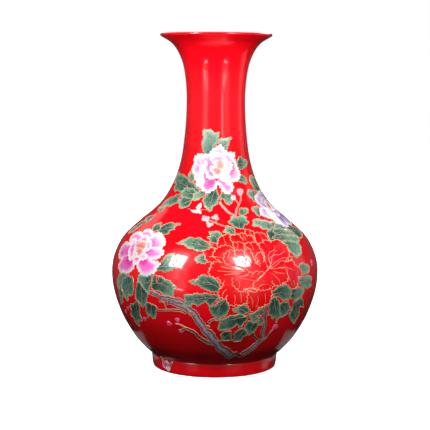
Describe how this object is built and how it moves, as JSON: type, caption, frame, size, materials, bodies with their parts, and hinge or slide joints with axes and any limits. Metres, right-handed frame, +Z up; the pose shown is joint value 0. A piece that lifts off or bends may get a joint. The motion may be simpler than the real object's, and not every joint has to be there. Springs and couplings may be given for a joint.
{
  "type": "vase",
  "caption": "Bottle-shaped vase with a trumpet mouth, long neck, round belly and foot ring, decorated with raised enamel peonies outlined in gilt wire.",
  "frame": {"origin": "centre of the foot ring, on the plane that the vase stands on", "axes": "+Z up along the axis of turning; the front with the large red peony faces -Y; +X is to the right seen from the front"},
  "size_m": [0.2184, 0.2205, 0.35],
  "materials": {
    "red_glaze": "glossy bright red glaze with a faint orange-peel surface; bare pale clay on the standing rim",
    "gilt_wire": "fine raised gilt wire, satin, pale gold",
    "leaf_enamel": "glossy enamel, dark green running to pale mint at the edges",
    "bark_enamel": "glossy enamel, grey-brown with darker edges",
    "scarlet_enamel": "glossy scarlet enamel, slightly pinker towards the petal roots",
    "pink_enamel": "glossy enamel, white petal edges running to deep pink",
    "pale_enamel": "glossy enamel, nearly white with pink petal roots",
    "lilac_enamel": "glossy enamel, white petal edges running to violet"
  },
  "bodies": {
    "root": {"back_branch_inlay": "bark_enamel", "back_branch_wire": "gilt_wire", "back_leaf_left_inlay": "leaf_enamel", "back_leaf_left_wire": "gilt_wire", "back_leaf_right_inlay": "leaf_enamel", "back_leaf_right_wire": "gilt_wire", "back_peony_inlay": "pink_enamel", "back_peony_wire": "gilt_wire", "belly_leaf_left_inlay": "leaf_enamel", "belly_leaf_left_wire": "gilt_wire", "belly_leaf_middle_inlay": "leaf_enamel", "belly_leaf_middle_wire": "gilt_wire", "belly_section": "red_glaze", "centre_leaf_inlay": "leaf_enamel", "centre_leaf_wire": "gilt_wire", "centre_low_leaf_inlay": "leaf_enamel", "centre_low_leaf_wire": "gilt_wire", "cheek_leaf_inlay": "leaf_enamel", "cheek_leaf_wire": "gilt_wire", "collar_leaf_inlay": "leaf_enamel", "collar_leaf_wire": "gilt_wire", "edge_leaf_right_inlay": "leaf_enamel", "edge_leaf_right_wire": "gilt_wire", "foot_ring": "red_glaze", "hip_leaf_right_inlay": "leaf_enamel", "hip_leaf_right_wire": "gilt_wire", "lilac_peony_inlay": "lilac_enamel", "lilac_peony_wire": "gilt_wire", "low_leaf_left_inlay": "leaf_enamel", "low_leaf_left_wire": "gilt_wire", "main_branch_inlay": "bark_enamel", "main_branch_wire": "gilt_wire", "neck_leaf_left_inlay": "leaf_enamel", "neck_leaf_left_wire": "gilt_wire", "neck_leaf_right_inlay": "leaf_enamel", "neck_leaf_right_wire": "gilt_wire", "neck_section": "red_glaze", "outer_leaf_left_inlay": "leaf_enamel", "outer_leaf_left_wire": "gilt_wire", "pink_peony_inlay": "pink_enamel", "pink_peony_wire": "gilt_wire", "red_peony_inlay": "scarlet_enamel", "red_peony_wire": "gilt_wire", "root_leaf_inlay": "leaf_enamel", "root_leaf_right_inlay": "leaf_enamel", "root_leaf_right_wire": "gilt_wire", "root_leaf_wire": "gilt_wire", "shoulder_leaf_inlay": "leaf_enamel", "shoulder_leaf_right_inlay": "leaf_enamel", "shoulder_leaf_right_wire": "gilt_wire", "shoulder_leaf_wire": "gilt_wire", "shoulder_section": "red_glaze", "side_branch_inlay": "bark_enamel", "side_branch_wire": "gilt_wire", "throat_leaf_left_inlay": "leaf_enamel", "throat_leaf_left_wire": "gilt_wire", "throat_leaf_right_inlay": "leaf_enamel", "throat_leaf_right_wire": "gilt_wire", "top_peony_inlay": "pale_enamel", "top_peony_wire": "gilt_wire"}
  },
  "joints": []
}
